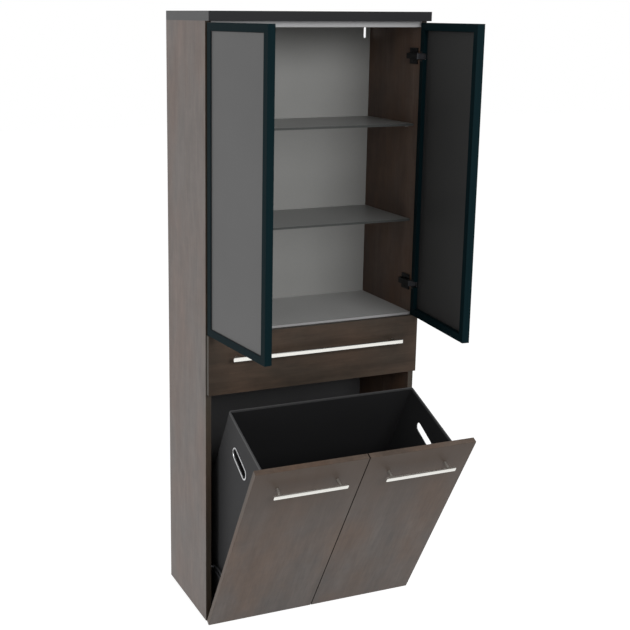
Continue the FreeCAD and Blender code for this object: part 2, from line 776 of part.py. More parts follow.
# Slotted stays: each curved arm on the flap runs over a stud in the side panel and stops it both ways.
studs = []
for side, word in ((LEFT, "left"), (RIGHT, "right")):
    plane, plane_end = mirrored(side, "stay_side - stay_thickness", "stay_side")
    disc = rod("X", "stay_outer", "stay_thickness", plane, "0", "0", "stay_sweep")
    bite = rod("X", "stay_inner", "stay_thickness", plane, "0", "0")
    arm = cut(disc, bite)
    arm.Placement.Rotation = FreeCAD.Rotation(FreeCAD.Vector(1, 0, 0), 1)
    arm.setExpression("Placement.Rotation.Angle", formula("stay_start"))
    ring = cut(
        rod("X", "stay_radius + slot_half", "stay_thickness", plane, "0", "0", "flap_angle"),
        rod("X", "stay_radius - slot_half", "stay_thickness", plane, "0", "0"),
    )
    ring.Placement.Rotation = FreeCAD.Rotation(FreeCAD.Vector(1, 0, 0), 1)
    ring.setExpression("Placement.Rotation.Angle", formula("stay_slot_start"))
    ends = []
    for angle in ("stay_slot_start", "stud_angle"):
        spot = ("stay_radius * cos(%s)" % angle, "stay_radius * sin(%s)" % angle)
        ends.append(rod("X", "slot_half", "stay_thickness", plane, spot[0], spot[1]))
    foot = box(
        mirrored(side, "stay_side - stay_foot", "stay_side"),
        ("board_inner", "board_inner + stay_foot_thickness"),
        ("stay_inner", "stay_outer"),
    )
    on_flap("flap_stay_" + word, join(cut(arm, ring, *ends), foot))
    start, end = mirrored(side, "stud_end", "inner")
    head_start = mirrored(side, "stud_end", "stud_end + stud_head_thickness")[0]
    shank = rod("X", "stud_radius", "inner - stud_end", start, "stud_y", "stud_z")
    head = rod("X", "stud_head", "stud_head_thickness", head_start, "stud_y", "stud_z")
    studs.append(join(shank, head))
part("stay_studs", group(*studs))

doc.recompute()

faults = [item.Label for item in doc.Objects if "Invalid" in item.State or "Error" in item.State]
for item in parts:
    shape = item.Shape
    if shape.isNull() or not shape.isValid():
        faults.append(item.Label + " has a bad shape")
if faults:
    raise RuntimeError("not written: " + ", ".join(faults))
os.makedirs("parts", exist_ok=True)
for item in parts:
    item.Shape.exportStep("parts/%s.step" % item.Label)
print(len(parts), "nodes,", sum(len(item.Shape.Solids) for item in parts), "solids")
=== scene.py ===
import math

import bmesh
import bpy
from mathutils import Matrix, Vector


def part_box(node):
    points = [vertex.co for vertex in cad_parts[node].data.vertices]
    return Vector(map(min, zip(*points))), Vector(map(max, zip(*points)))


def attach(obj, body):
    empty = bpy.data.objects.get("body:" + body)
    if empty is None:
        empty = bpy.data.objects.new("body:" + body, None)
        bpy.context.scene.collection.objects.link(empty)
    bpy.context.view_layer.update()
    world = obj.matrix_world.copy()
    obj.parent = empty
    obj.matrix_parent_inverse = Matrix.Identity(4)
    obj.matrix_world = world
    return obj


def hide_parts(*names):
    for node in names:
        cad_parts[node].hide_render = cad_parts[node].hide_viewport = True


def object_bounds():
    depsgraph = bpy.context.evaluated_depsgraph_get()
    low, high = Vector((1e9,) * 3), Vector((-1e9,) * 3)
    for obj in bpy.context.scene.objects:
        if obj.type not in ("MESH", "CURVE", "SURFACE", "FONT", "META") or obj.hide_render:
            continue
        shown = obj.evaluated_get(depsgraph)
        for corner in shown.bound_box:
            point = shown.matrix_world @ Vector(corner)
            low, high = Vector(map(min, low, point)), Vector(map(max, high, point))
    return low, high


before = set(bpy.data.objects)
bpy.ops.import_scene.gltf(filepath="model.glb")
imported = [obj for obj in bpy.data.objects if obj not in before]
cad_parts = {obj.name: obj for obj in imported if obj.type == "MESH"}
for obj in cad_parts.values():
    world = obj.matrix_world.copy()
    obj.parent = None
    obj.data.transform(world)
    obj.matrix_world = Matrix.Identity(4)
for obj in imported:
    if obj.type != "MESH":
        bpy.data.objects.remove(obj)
cad_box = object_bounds()

# The camera looks down at the cabinet from the left, with a fairly long lens as in the photograph.
# Its place, turn and lens were fitted to the straight edges of the boards and doors.
CAMERA_PLACE = (-1.3973, -3.1521, 1.6945)
camera_data = bpy.data.cameras.new("view_camera")
camera_data.sensor_width = 36.0
camera_data.lens = 66.81
camera_data.shift_x = 0.1210
camera_data.shift_y = -0.0429
yaw, pitch, roll = 0.3895, -0.2310, 0.0048
ahead = Vector((
    math.sin(yaw) * math.cos(pitch),
    math.cos(yaw) * math.cos(pitch),
    math.sin(pitch),
))
level = ahead.cross(Vector((0, 0, 1))).normalized()
rise = level.cross(ahead)
camera_right = level * math.cos(roll) + rise * math.sin(roll)
camera_up = rise * math.cos(roll) - level * math.sin(roll)
turn = Matrix((camera_right, camera_up, -ahead)).transposed().to_4x4()
camera = bpy.data.objects.new("view_camera", camera_data)
camera.matrix_world = Matrix.Translation(CAMERA_PLACE) @ turn
bpy.context.scene.collection.objects.link(camera)
bpy.context.scene.camera = camera
bpy.context.scene.view_settings.view_transform = "Standard"


def paint(red, green, blue):
    """A colour as it looks on a screen, from 0 to 255, as the linear values that a shader takes."""
    linear = []
    for value in (red, green, blue):
        share = value / 255
        linear.append(share / 12.92 if share <= 0.04045 else ((share + 0.055) / 1.055) ** 2.4)
    return (*linear, 1.0)


def pick(sockets, word):
    """A socket by its identifier, or else by its name."""
    for socket in sockets:
        if socket.identifier == word:
            return socket
    return sockets[word]


def add(tree, kind, links=(), **settings):
    """A node with its settings, and with each named input set to a value or joined to a socket."""
    node = tree.nodes.new(kind)
    for word, value in settings.items():
        setattr(node, word, value)
    for word, value in dict(links).items():
        socket = pick(node.inputs, word)
        if isinstance(value, bpy.types.NodeSocket):
            tree.links.new(value, socket)
        else:
            socket.default_value = value
    return node


# Studio: a pale floor just under the flap, a plain white surround, a broad soft lamp on the left
# as in the photograph, and a stronger one in front. The floor keeps a faint shadow.
FLOOR_DROP = 0.005
FLOOR_REACH = 14.0
FLOOR_SHARE, SHADOW_SHARE, FLOOR_GLOW = 0.88, 0.3, 0.9
SURROUND_LIGHT = 0.4
LAMP_AIM = (0, -0.25, 0.9)


def maths(tree, operation, first, second=0.0):
    """The outcome of one sum on two sockets or values."""
    result = add(tree, "ShaderNodeMath", {"Value": first, "Value_001": second}, operation=operation)
    return result.outputs[0]


def seen_by_camera(tree):
    """1 where the camera looks, also by way of metal or glass, and 0 where light only bounces."""
    rays = add(tree, "ShaderNodeLightPath")
    seen = maths(tree, "MAXIMUM", rays.outputs["Is Camera Ray"], rays.outputs["Is Glossy Ray"])
    return maths(tree, "MAXIMUM", seen, rays.outputs["Is Transmission Ray"])


floor_level = cad_box[0][2] - FLOOR_DROP
floor_mesh = bpy.data.meshes.new("studio_floor")
floor_mesh.from_pydata(
    [(x, y, floor_level) for x, y in (
        (-FLOOR_REACH, -FLOOR_REACH), (FLOOR_REACH, -FLOOR_REACH),
        (FLOOR_REACH, FLOOR_REACH), (-FLOOR_REACH, FLOOR_REACH),
    )],
    [], [(0, 1, 2, 3)],
)
floor = bpy.data.objects.new("studio_floor", floor_mesh)
bpy.context.scene.collection.objects.link(floor)
floor_paint = bpy.data.materials.new("studio_floor_paint")
floor_paint.use_nodes = True
tree = floor_paint.node_tree
tree.nodes.clear()
matt = add(tree, "ShaderNodeBsdfDiffuse", {"Color": (FLOOR_SHARE, FLOOR_SHARE, FLOOR_SHARE, 1)})
faint = add(tree, "ShaderNodeBsdfDiffuse", {
    "Color": (SHADOW_SHARE, SHADOW_SHARE, SHADOW_SHARE, 1),
})
glow = add(tree, "ShaderNodeEmission", {"Color": (1, 1, 1, 1), "Strength": FLOOR_GLOW})
pale = add(tree, "ShaderNodeAddShader", {"Shader": faint.outputs[0], "Shader_001": glow.outputs[0]})
blend = add(tree, "ShaderNodeMixShader", {
    "Fac": seen_by_camera(tree), "Shader": matt.outputs[0], "Shader_001": pale.outputs[0],
})
add(tree, "ShaderNodeOutputMaterial", {"Surface": blend.outputs[0]})
floor_mesh.materials.append(floor_paint)

world = bpy.data.worlds.new("studio_surround")
bpy.context.scene.world = world
world.use_nodes = True
tree = world.node_tree
tree.nodes.clear()
ambient = add(tree, "ShaderNodeBackground", {"Color": (1, 1, 1, 1), "Strength": SURROUND_LIGHT})
white = add(tree, "ShaderNodeBackground", {"Color": (1, 1, 1, 1), "Strength": 1.0})
blend = add(tree, "ShaderNodeMixShader", {
    "Fac": seen_by_camera(tree), "Shader": ambient.outputs[0], "Shader_001": white.outputs[0],
})
add(tree, "ShaderNodeOutputWorld", {"Surface": blend.outputs[0]})


def soft_lamp(name, place, size, power):
    data = bpy.data.lights.new(name, "AREA")
    data.shape = "DISK"
    data.size = size
    data.energy = power
    lamp = bpy.data.objects.new(name, data)
    lamp.location = place
    lamp.rotation_euler = (Vector(LAMP_AIM) - Vector(place)).to_track_quat("-Z", "Y").to_euler()
    bpy.context.scene.collection.objects.link(lamp)


soft_lamp("left_softbox", (-3.6, -1.4, 2.0), size=2.4, power=50)
soft_lamp("front_softbox", (0.2, -3.9, 2.5), size=1.8, power=100)

# Side panels: chipboard wrapped in a dark oak foil with a fine printed grain. The outer faces are
# painted greyer and paler, a painted sheen, and the inner ones darker, painted shade. A darker
# band closes each front edge.
OUTER_FACE = 0.3247


def group_tree(name, inputs, outputs):
    """An empty shader group with named inputs, given as (kind, name, value), and outputs."""
    tree = bpy.data.node_groups.new(name, "ShaderNodeTree")
    for kind, word, value in inputs:
        socket = tree.interface.new_socket(word, in_out="INPUT", socket_type="NodeSocket" + kind)
        socket.default_value = value
    for kind, word in outputs:
        tree.interface.new_socket(word, in_out="OUTPUT", socket_type="NodeSocket" + kind)
    return tree, add(tree, "NodeGroupInput"), add(tree, "NodeGroupOutput")


def stretched_noise(tree, vector, stretch, detail, roughness=0.5):
    placed = add(tree, "ShaderNodeMapping", {"Vector": vector, "Scale": stretch})
    return add(tree, "ShaderNodeTexNoise", {
        "Vector": placed.outputs[0], "Scale": 1.0, "Detail": detail, "Roughness": roughness,
    }).outputs["Fac"]


def spread(tree, value, low, high, floor=0.0, top=1.0):
    """Stretches the middle of a noise over the whole of a range."""
    return add(tree, "ShaderNodeMapRange", {
        "Value": value, "From Min": low, "From Max": high, "To Min": floor, "To Max": top,
    }).outputs[0]


def mix(tree, share, first, second, kind="MIX"):
    return pick(add(tree, "ShaderNodeMix", {
        "Factor_Float": share, "A_Color": first, "B_Color": second,
    }, data_type="RGBA", blend_type=kind).outputs, "Result_Color")


def shade_by(tree, colour, shade):
    """A colour made darker or lighter by the same share in red, green and blue."""
    grey = add(tree, "ShaderNodeCombineXYZ", {"X": shade, "Y": shade, "Z": shade})
    return mix(tree, 1.0, colour, grey.outputs[0], "MULTIPLY")


wood_grain, ends, out = group_tree("wood_grain", [
    ("Vector", "Vector", (0, 0, 0)), ("Color", "Pale", (0.2, 0.2, 0.2, 1)),
    ("Color", "Dark", (0.1, 0.1, 0.1, 1)), ("Color", "Warm", (0.1, 0.05, 0.03, 1)),
], [("Color", "Color"), ("Float", "Height"), ("Float", "Roughness")])
streaks = stretched_noise(wood_grain, ends.outputs["Vector"], (17, 17, 1.3), 4, 0.6)
fibres = stretched_noise(wood_grain, ends.outputs["Vector"], (190, 190, 14), 3)
clouds = stretched_noise(wood_grain, ends.outputs["Vector"], (6.5, 6.5, 3.4), 4, 0.6)
pores = stretched_noise(wood_grain, ends.outputs["Vector"], (620, 620, 30), 2)
blotches = stretched_noise(wood_grain, ends.outputs["Vector"], (30, 30, 9), 4, 0.65)
ripples = stretched_noise(wood_grain, ends.outputs["Vector"], (11, 11, 34), 4, 0.7)
paleness = spread(wood_grain, streaks, 0.36, 0.64)
colour = mix(wood_grain, paleness, ends.outputs["Dark"], ends.outputs["Pale"])
colour = mix(wood_grain, spread(wood_grain, clouds, 0.42, 0.66, 0, 0.95), colour, ends.outputs["Warm"])
fibre_shade = spread(wood_grain, fibres, 0.3, 0.7, 0.91, 1.08)
pore_shade = spread(wood_grain, pores, 0.3, 0.42, 0.92, 1.0)
blotch_shade = spread(wood_grain, blotches, 0.3, 0.7, 0.84, 1.14)
ripple_shade = spread(wood_grain, ripples, 0.3, 0.7, 0.94, 1.05)
shade = fibre_shade
for more in (pore_shade, blotch_shade, ripple_shade):
    shade = maths(wood_grain, "MULTIPLY", shade, more)
wood_grain.links.new(shade_by(wood_grain, colour, shade), out.inputs["Color"])
wood_grain.links.new(shade, out.inputs["Height"])
wood_grain.links.new(spread(wood_grain, streaks, 0.3, 0.7, 0.44, 0.56), out.inputs["Roughness"])


def new_finish(name, links, **settings):
    """A material whose Principled shader has these plain values; returns it with its tree and shader."""
    material = bpy.data.materials.new(name)
    material.use_nodes = True
    tree = material.node_tree
    tree.nodes.clear()
    shader = add(tree, "ShaderNodeBsdfPrincipled", links)
    add(tree, "ShaderNodeOutputMaterial", {"Surface": shader.outputs[0]})
    return material, tree, shader


def use(tree, group, links):
    node = add(tree, "ShaderNodeGroup", node_tree=group)
    for word, value in links.items():
        if isinstance(value, bpy.types.NodeSocket):
            tree.links.new(value, node.inputs[word])
        else:
            node.inputs[word].default_value = value
    return node


def roughen(tree, shader, height, distance, strength=0.5):
    bump = add(tree, "ShaderNodeBump", {"Height": height, "Strength": strength, "Distance": distance})
    tree.links.new(bump.outputs[0], shader.inputs["Normal"])


def two_tones(tree, shader, share, first, second):
    """The first colour where the share is 0, and the second where it is 1."""
    tree.links.new(mix(tree, share, first, second), shader.inputs["Base Color"])


def off_centre(tree, place, reach):
    """1 where a point lies further than this to the left or right of the middle."""
    across = add(tree, "ShaderNodeSeparateXYZ", {"Vector": place}).outputs["X"]
    return maths(tree, "GREATER_THAN", maths(tree, "ABSOLUTE", across), reach)


def dress(names, material):
    """Gives CAD nodes their finish."""
    for name in names:
        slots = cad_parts[name].data.materials
        slots.clear()
        slots.append(material)


def oak_finish(name, pale, dark, warm, turn=(0, 0, 0), specular=0.3):
    """Oak foil whose grain runs upright once the object's own axes have had this turn."""
    material, tree, shader = new_finish(name, {"Specular IOR Level": specular})
    place = add(tree, "ShaderNodeTexCoord")
    turned = add(tree, "ShaderNodeMapping", {"Vector": place.outputs["Object"], "Rotation": turn})
    grain = use(tree, wood_grain, {
        "Vector": turned.outputs[0], "Pale": pale, "Dark": dark, "Warm": warm,
    })
    tree.links.new(grain.outputs["Color"], shader.inputs["Base Color"])
    tree.links.new(grain.outputs["Roughness"], shader.inputs["Roughness"])
    roughen(tree, shader, grain.outputs["Height"], 0.0002)
    return material, tree, shader, grain


side_foil, tree, shader, grain = oak_finish(
    "dark_oak_side_foil", paint(108, 100, 96), paint(97, 90, 86), paint(105, 91, 84),
)
# Painted shade on the inner faces: a darker copy of the same grain.
shaded_inner_grain = use(tree, wood_grain, {
    "Vector": grain.inputs["Vector"].links[0].from_socket,
    "Pale": paint(98, 82, 72), "Dark": paint(76, 61, 53), "Warm": paint(92, 69, 54),
})
# Painted sheen: the outer faces keep the paler, greyer copy.
sheen_outer_face = off_centre(tree, add(tree, "ShaderNodeTexCoord").outputs["Object"], OUTER_FACE)
two_tones(tree, shader, sheen_outer_face, shaded_inner_grain.outputs["Color"], grain.outputs["Color"])
dress(["side_panel_left", "side_panel_right"], side_foil)


def eased_boxes(name, boxes, ease, place=Matrix.Identity(4)):
    """Boxes between lowest and highest corners, with their edges eased, as one mesh."""
    shape = bmesh.new()
    for low, high in boxes:
        low, high = Vector(low), Vector(high)
        size = Matrix.Diagonal((*(high - low), 1))
        made = bmesh.ops.create_cube(shape, size=1, matrix=Matrix.Translation((low + high) / 2) @ size)
        edges = list({edge for corner in made["verts"] for edge in corner.link_edges})
        bmesh.ops.bevel(shape, geom=edges, offset=ease, segments=2, profile=0.5, affect="EDGES")
    shape.transform(place)
    mesh = bpy.data.meshes.new(name)
    shape.to_mesh(mesh)
    shape.free()
    piece = bpy.data.objects.new(name, mesh)
    bpy.context.scene.collection.objects.link(piece)
    return piece


def finish_piece(piece, body, material):
    piece.data.materials.clear()
    piece.data.materials.append(material)
    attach(piece, body)


BAND = 0.0004
BAND_EASE = 0.00015
band_foil, tree, shader, grain = oak_finish(
    "dark_oak_edge_foil", paint(54, 47, 38), paint(45, 38, 30), paint(54, 42, 32),
)


def front_edge_bands(piece_name, boards):
    """A thin strip on the front edge of each of these boards, as one mesh."""
    strips = []
    for name in boards:
        low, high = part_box(name)
        strips.append((
            (low.x + BAND, low.y - BAND, low.z + BAND), (high.x - BAND, low.y + BAND, high.z - BAND),
        ))
    return eased_boxes(piece_name, strips, BAND_EASE)


side_bands = front_edge_bands("side_front_edge_bands", ["side_panel_left", "side_panel_right"])
finish_piece(side_bands, "carcass", band_foil)

# Boards between the sides: light grey melamine, a fine crushed surface with small flecks, and
# a band of nearly the same grey on each front edge. The back panel is thin grey board, whose
# room side is painted darker behind the basket, in place of the shade in there.
melamine, ends, out = group_tree("melamine", [
    ("Vector", "Vector", (0, 0, 0)), ("Color", "Paint", (0.3, 0.3, 0.3, 1)), ("Float", "Fleck", 0.08),
], [("Color", "Color"), ("Float", "Height")])
crush = stretched_noise(melamine, ends.outputs["Vector"], (900, 900, 900), 2)
drift = stretched_noise(melamine, ends.outputs["Vector"], (4, 4, 4), 2)
darkest = maths(melamine, "SUBTRACT", 1.0, ends.outputs["Fleck"])
lightest = maths(melamine, "ADD", 1.0, ends.outputs["Fleck"])
tone = spread(melamine, crush, 0.3, 0.7, darkest, lightest)
tone = maths(melamine, "MULTIPLY", tone, spread(melamine, drift, 0.3, 0.7, 0.96, 1.04))
melamine.links.new(shade_by(melamine, ends.outputs["Paint"], tone), out.inputs["Color"])
melamine.links.new(crush, out.inputs["Height"])


BOARD_BUMP, GLASS_BUMP = 0.00008, 0.00003


def board_finish(name, colour, fleck=0.06, roughness=0.5, specular=0.3, bump=BOARD_BUMP):
    material, tree, shader = new_finish(name, {"Roughness": roughness, "Specular IOR Level": specular})
    place = add(tree, "ShaderNodeTexCoord")
    face = use(tree, melamine, {"Vector": place.outputs["Object"], "Paint": colour, "Fleck": fleck})
    tree.links.new(face.outputs["Color"], shader.inputs["Base Color"])
    roughen(tree, shader, face.outputs["Height"], bump)
    return material


grey_board = board_finish("grey_melamine", paint(156, 156, 155))
BOARDS = ["top_board", "middle_floor", "drawer_divider", "bottom_board"]
dress(BOARDS, grey_board)
back_board, tree, shader = new_finish("grey_back_board", {"Roughness": 0.5, "Specular IOR Level": 0.3})
place = add(tree, "ShaderNodeTexCoord").outputs["Object"]
above = use(tree, melamine, {"Vector": place, "Paint": paint(134, 134, 132), "Fleck": 0.06})
below = use(tree, melamine, {"Vector": place, "Paint": paint(72, 72, 73), "Fleck": 0.06})
where = add(tree, "ShaderNodeSeparateXYZ", {"Vector": place})
behind_basket = maths(tree, "LESS_THAN", where.outputs["Z"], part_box("drawer_divider")[0].z)
low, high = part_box("back_panel")
room_side = maths(tree, "LESS_THAN", where.outputs["Y"], (low.y + high.y) / 2)
in_shade = maths(tree, "MULTIPLY", behind_basket, room_side)
two_tones(tree, shader, in_shade, above.outputs["Color"], below.outputs["Color"])
roughen(tree, shader, above.outputs["Height"], BOARD_BUMP)
dress(["back_panel"], back_board)
finish_piece(
    front_edge_bands("board_front_edge_bands", BOARDS), "carcass",
    board_finish("grey_edge_band", paint(150, 150, 151), roughness=0.4),
)

# Cover plate: a thicker board in matt anthracite laminate, laid on top, that overhangs the
# doors. Its two ends are painted paler than its front, as painted light.
laminate, tree, shader = new_finish("anthracite_laminate", {"Roughness": 0.5, "Specular IOR Level": 0.06})
place = add(tree, "ShaderNodeTexCoord").outputs["Object"]
front_face = use(tree, melamine, {"Vector": place, "Paint": paint(36, 36, 38), "Fleck": 0.1})
# Painted light: the end faces take a paler paint than the front.
lit_end_face = use(tree, melamine, {"Vector": place, "Paint": paint(94, 94, 95), "Fleck": 0.06})
lit_end_mask = off_centre(tree, place, OUTER_FACE)
two_tones(tree, shader, lit_end_mask, front_face.outputs["Color"], lit_end_face.outputs["Color"])
roughen(tree, shader, front_face.outputs["Height"], BOARD_BUMP)
dress(["cover_plate"], laminate)

# Suspension plates, pins, runners, hinge leaves, studs and stays: pressed steel, zinc plated,
# with a faint spangle. Countersunk crossed screws hold them to the boards.
plated, ends, out = group_tree("plated_metal", [
    ("Vector", "Vector", (0, 0, 0)), ("Color", "Paint", (0.5, 0.5, 0.5, 1)),
    ("Vector", "Brush", (60, 60, 60)), ("Float", "Smooth", 0.3), ("Float", "Dull", 0.45),
], [("Color", "Color"), ("Float", "Roughness"), ("Float", "Height")])
brushed = add(plated, "ShaderNodeVectorMath", {
    "Vector": ends.outputs["Vector"], "Vector_001": ends.outputs["Brush"],
}, operation="MULTIPLY")
lines = add(plated, "ShaderNodeTexNoise", {
    "Vector": brushed.outputs[0], "Scale": 1.0, "Detail": 4, "Roughness": 0.6,
}).outputs["Fac"]
tone = spread(plated, lines, 0.3, 0.7, 0.88, 1.08)
plated.links.new(shade_by(plated, ends.outputs["Paint"], tone), out.inputs["Color"])
dull = add(plated, "ShaderNodeMapRange", {
    "Value": lines, "From Min": 0.3, "From Max": 0.7,
    "To Min": ends.outputs["Smooth"], "To Max": ends.outputs["Dull"],
})
plated.links.new(dull.outputs[0], out.inputs["Roughness"])
plated.links.new(lines, out.inputs["Height"])


def metal_finish(name, colour, brush, smooth, dull, metallic=1.0, specular=0.5, bump=0.00003):
    material, tree, shader = new_finish(name, {"Metallic": metallic, "Specular IOR Level": specular})
    place = add(tree, "ShaderNodeTexCoord")
    face = use(tree, plated, {
        "Vector": place.outputs["Object"], "Paint": colour, "Brush": brush, "Smooth": smooth, "Dull": dull,
    })
    tree.links.new(face.outputs["Color"], shader.inputs["Base Color"])
    tree.links.new(face.outputs["Roughness"], shader.inputs["Roughness"])
    roughen(tree, shader, face.outputs["Height"], bump)
    return material


zinc = metal_finish("zinc_plated_steel", paint(176, 178, 182), (90, 90, 90), 0.28, 0.42)
dress([
    "suspension_plates", "shelf_pins", "runner_fixed_members", "runner_moving_members",
    "flap_hinge_fixed_leaves", "flap_hinge_moving_leaves", "flap_hinge_pins", "stay_studs",
    "flap_tie_rails", "door_left_hinge_pins", "door_right_hinge_pins",
], zinc)
dress(
    ["flap_stay_left", "flap_stay_right"],
    metal_finish("dark_zinc_stays", paint(82, 83, 86), (90, 90, 90), 0.42, 0.56),
)

HEAD_SIDES, HEAD_TOP_SHARE, BLADE_SHARE = 14, 0.72, 1.1
screw_rows = bpy.data.node_groups.new("crossed_screws", "GeometryNodeTree")
screw_sockets = {}
for kind, word in (
    ("Geometry", "Places"), ("Float", "Head Height"), ("Float", "Slot Width"),
    ("Float", "Slot Depth"), ("Material", "Steel"),
):
    made = screw_rows.interface.new_socket(word, in_out="INPUT", socket_type="NodeSocket" + kind)
    screw_sockets[word] = made.identifier
screw_rows.interface.new_socket("Screws", in_out="OUTPUT", socket_type="NodeSocketGeometry")
ends = add(screw_rows, "NodeGroupInput")
head = add(screw_rows, "GeometryNodeMeshCone", {
    "Vertices": HEAD_SIDES, "Radius Top": HEAD_TOP_SHARE, "Radius Bottom": 1.0,
    "Depth": ends.outputs["Head Height"],
})
cuts = []
for along, across in (("X", "Y"), ("Y", "X")):
    size = add(screw_rows, "ShaderNodeCombineXYZ", {
        along: BLADE_SHARE, across: ends.outputs["Slot Width"], "Z": ends.outputs["Slot Depth"],
    })
    blade = add(screw_rows, "GeometryNodeMeshCube", {"Size": size.outputs[0]})
    lift = add(screw_rows, "ShaderNodeCombineXYZ", {"Z": ends.outputs["Head Height"]})
    cuts.append(add(screw_rows, "GeometryNodeTransform", {
        "Geometry": blade.outputs["Mesh"], "Translation": lift.outputs[0],
    }))
crossed = add(screw_rows, "GeometryNodeMeshBoolean", operation="DIFFERENCE")
screw_rows.links.new(head.outputs["Mesh"], crossed.inputs[0])
for blade in cuts:
    screw_rows.links.new(blade.outputs[0], crossed.inputs[1])
drive = add(screw_rows, "GeometryNodeInputNamedAttribute", {"Name": "drive"}, data_type="FLOAT_VECTOR")
size = add(screw_rows, "GeometryNodeInputNamedAttribute", {"Name": "size"}, data_type="FLOAT")
facing = add(screw_rows, "FunctionNodeAlignRotationToVector", {
    "Vector": drive.outputs["Attribute"],
}, axis="Z")
placed = add(screw_rows, "GeometryNodeInstanceOnPoints", {
    "Points": ends.outputs["Places"], "Instance": crossed.outputs[0],
    "Rotation": facing.outputs[0], "Scale": size.outputs["Attribute"],
})
real = add(screw_rows, "GeometryNodeRealizeInstances", {"Geometry": placed.outputs[0]})
steel = add(screw_rows, "GeometryNodeSetMaterial", {
    "Geometry": real.outputs[0], "Material": ends.outputs["Steel"],
})
add(screw_rows, "NodeGroupOutput", {"Screws": steel.outputs[0]})


def screws(name, body, material, places):
    """Screw heads at places given as (point, the way the head faces, its radius)."""
    mesh = bpy.data.meshes.new(name)
    mesh.from_pydata([point for point, way, radius in places], [], [])
    mesh.attributes.new("drive", "FLOAT_VECTOR", "POINT")
    mesh.attributes.new("size", "FLOAT", "POINT")
    for index, (point, way, radius) in enumerate(places):
        mesh.attributes["drive"].data[index].vector = way
        mesh.attributes["size"].data[index].value = radius
    piece = bpy.data.objects.new(name, mesh)
    bpy.context.scene.collection.objects.link(piece)
    row = piece.modifiers.new("screws", "NODES")
    row.node_group = screw_rows
    row[screw_sockets["Head Height"]] = 0.34
    row[screw_sockets["Slot Width"]] = 0.2
    row[screw_sockets["Slot Depth"]] = 0.4
    row[screw_sockets["Steel"]] = material
    view = bpy.context.evaluated_depsgraph_get()
    made = bpy.data.meshes.new_from_object(piece.evaluated_get(view))
    piece.modifiers.clear()
    piece.data = made
    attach(piece, body)
    return piece


LEFT, RIGHT = -1, 1
SCREW, SMALL_SCREW, STAY_SCREW = 0.0035, 0.003, 0.0025
carcass_screws = []
low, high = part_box("suspension_plates")
PLATE_THICKNESS, PLATE_SCREW_DEPTH = 0.0025, -0.0052
PLATE_SCREW_HEIGHTS = (0.012, 0.043)
for side in (LEFT, RIGHT):
    inner_face = side * (high.x - PLATE_THICKNESS)
    for height in PLATE_SCREW_HEIGHTS:
        point = (inner_face, PLATE_SCREW_DEPTH, low.z + height)
        carcass_screws.append((point, (-side, 0, 0), SMALL_SCREW))
low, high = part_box("runner_fixed_members")
RUNNER_SHEET = 0.0012
RUNNER_SCREW_DEPTHS = (0.04, 0.13, 0.23)
for side in (LEFT, RIGHT):
    for depth in RUNNER_SCREW_DEPTHS:
        spot = (side * (high.x - RUNNER_SHEET), low.y + depth, (low.z + high.z) / 2)
        carcass_screws.append((spot, (-side, 0, 0), SCREW))
low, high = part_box("flap_hinge_fixed_leaves")
HINGE_MIDDLE, HINGE_SCREW = 0.245, 0.02
LEAF_SCREW_INSET, LEAF_SCREW_LEVEL = 0.009, 0.0025
for side in (LEFT, RIGHT):
    for across in (-HINGE_SCREW, HINGE_SCREW):
        point = (side * HINGE_MIDDLE + across, high.y - LEAF_SCREW_INSET, LEAF_SCREW_LEVEL)
        carcass_screws.append((point, (0, 0, -1), SMALL_SCREW))
screws("carcass_screws", "carcass", zinc, carcass_screws)

# Shelves: satin grey glass, 6 mm, with darker ground front edges. Most of the lamps' light
# passes through, so no hard shadow falls on the back panel below them.
LIGHT_PASSED_SHARE, GROUND_EDGE = 0.85, 0.0006
shelf_glass, tree, shader = new_finish("satin_shelf_glass", {
    "Roughness": 0.32, "IOR": 1.5, "Transmission Weight": 0.15, "Specular IOR Level": 0.2,
})
place = add(tree, "ShaderNodeTexCoord")
where = add(tree, "ShaderNodeSeparateXYZ", {"Vector": place.outputs["Object"]})
low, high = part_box("upper_shelf")
edge = maths(tree, "LESS_THAN", where.outputs["Y"], low.y + GROUND_EDGE)
frost = use(tree, melamine, {
    "Vector": place.outputs["Object"], "Paint": paint(122, 123, 122), "Fleck": 0.03,
})
two_tones(tree, shader, edge, frost.outputs["Color"], paint(60, 62, 61))
roughen(tree, shader, frost.outputs["Height"], GLASS_BUMP)
rays = add(tree, "ShaderNodeLightPath")
passed = maths(tree, "MULTIPLY", rays.outputs["Is Shadow Ray"], LIGHT_PASSED_SHARE)
clear = add(tree, "ShaderNodeBsdfTransparent", {"Color": (1, 1, 1, 1)})
blend = add(tree, "ShaderNodeMixShader", {
    "Fac": passed, "Shader": shader.outputs[0], "Shader_001": clear.outputs[0],
})
output = next(node for node in tree.nodes if node.type == "OUTPUT_MATERIAL")
tree.links.new(blend.outputs[0], output.inputs["Surface"])
dress(["upper_shelf", "lower_shelf"], shelf_glass)

# Glass doors: aluminium bars anodised dark petrol, mitred at the corners, round a pane of satin
# glass that is etched grey outside and painted darker inside as painted shade, held by a black
# rubber gasket.
door_metal = metal_finish("petrol_anodised_frame", paint(6, 24, 28), (420, 420, 3), 0.45, 0.58, 0.0, 0.03)
DOOR_PIN_ACROSS, DOOR_PIN_DEPTH = 0.3165, -0.321
DOOR_TURNS = {"left": (LEFT, 85), "right": (RIGHT, 84.6)}
DOORS = {}
for word, (side, opening) in DOOR_TURNS.items():
    pin = Matrix.Translation((side * DOOR_PIN_ACROSS, DOOR_PIN_DEPTH, 0))
    DOORS[word] = (side, pin @ Matrix.Rotation(math.radians(side * opening), 4, "Z"))
hinge_black = metal_finish("black_plated_hinge", paint(40, 40, 42), (90, 90, 90), 0.32, 0.45)
gasket_rubber = board_finish("black_gasket_rubber", paint(20, 21, 22), 0.1, 0.6, 0.2)
PANE_FRONT, PANE_BACK = -0.003, 0.001
GASKET_START, GASKET_END, GASKET_BOTTOM, GASKET_TOP = 0.013, 0.295, 0.870, 1.651
GASKET_BEAD, GASKET_OUTER, GASKET_INNER, GASKET_EASE = 0.0015, 0.0018, 0.0022, 0.0004
